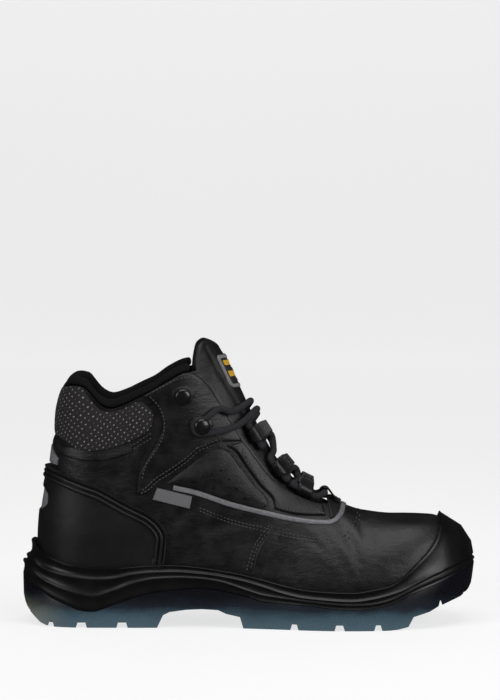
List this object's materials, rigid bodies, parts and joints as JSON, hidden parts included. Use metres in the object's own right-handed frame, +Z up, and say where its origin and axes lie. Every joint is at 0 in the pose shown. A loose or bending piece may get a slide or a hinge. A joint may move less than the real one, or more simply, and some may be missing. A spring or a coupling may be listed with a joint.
{
  "type": "safety boot",
  "caption": "Mid-cut lace-up safety boot for the right foot: leather upper, padded collar, ribbed heel counter, toe guard and lugged sole.",
  "frame": {"origin": "centre of the bounding box's underside, on the floor plane", "axes": "+X to the toe along the sole, +Y to the inner (medial) side, +Z up"},
  "size_m": [0.3056, 0.11, 0.1935],
  "materials": {
    "upper_leather": "smooth black full-grain leather with a soft sheen and fine creases",
    "panel_leather": "soft padded black leather with fine perforations",
    "insole_fabric": "dark grey footbed textile",
    "lining_fabric": "matt black textile lining",
    "mesh_fabric": "dark spacer mesh with light grey dots in diagonal rows",
    "counter_plastic": "matt black moulded plastic",
    "midsole_rubber": "black moulded foam rubber, slightly glossy at its edges",
    "outsole_rubber": "translucent grey-blue rubber, darker towards its upper edge",
    "badge_plastic": "grey moulded patch with plain yellow and dark fields",
    "reflective_tape": "satin grey reflective tape",
    "tag_fabric": "grey woven tape, blank",
    "hook_metal": "black lacquered metal, semi-gloss",
    "lace_cord": "round black braided cord"
  },
  "bodies": {
    "root": {"upper": "upper_leather", "insole": "insole_fabric", "midsole": "midsole_rubber", "outsole": "outsole_rubber", "tongue": "upper_leather", "tongue_badge": "badge_plastic", "collar_lining": "lining_fabric", "collar_cuff": "mesh_fabric", "heel_counter": "counter_plastic", "heel_window": "reflective_tape", "heel_strip": "reflective_tape", "vamp_piping": "reflective_tape", "quarter_lateral": "upper_leather", "eyestay_lateral": "upper_leather", "ankle_panel_lateral": "panel_leather", "side_tag_lateral": "tag_fabric", "lace_hook_lateral_1": "hook_metal", "lace_hook_lateral_2": "hook_metal", "lace_loop_lateral_1": "upper_leather", "lace_loop_lateral_2": "upper_leather", "lace_loop_lateral_3": "upper_leather", "quarter_medial": "upper_leather", "eyestay_medial": "upper_leather", "ankle_panel_medial": "panel_leather", "side_tag_medial": "tag_fabric", "lace_hook_medial_1": "hook_metal", "lace_hook_medial_2": "hook_metal", "lace_loop_medial_1": "upper_leather", "lace_loop_medial_2": "upper_leather", "lace_loop_medial_3": "upper_leather", "lace_crossing_1": "lace_cord", "lace_crossing_2": "lace_cord", "lace_hook_crossing": "lace_cord", "lace_top_bar": "lace_cord", "lace_bottom": "lace_cord", "lace_loop_bottom": "upper_leather"}
  },
  "joints": []
}
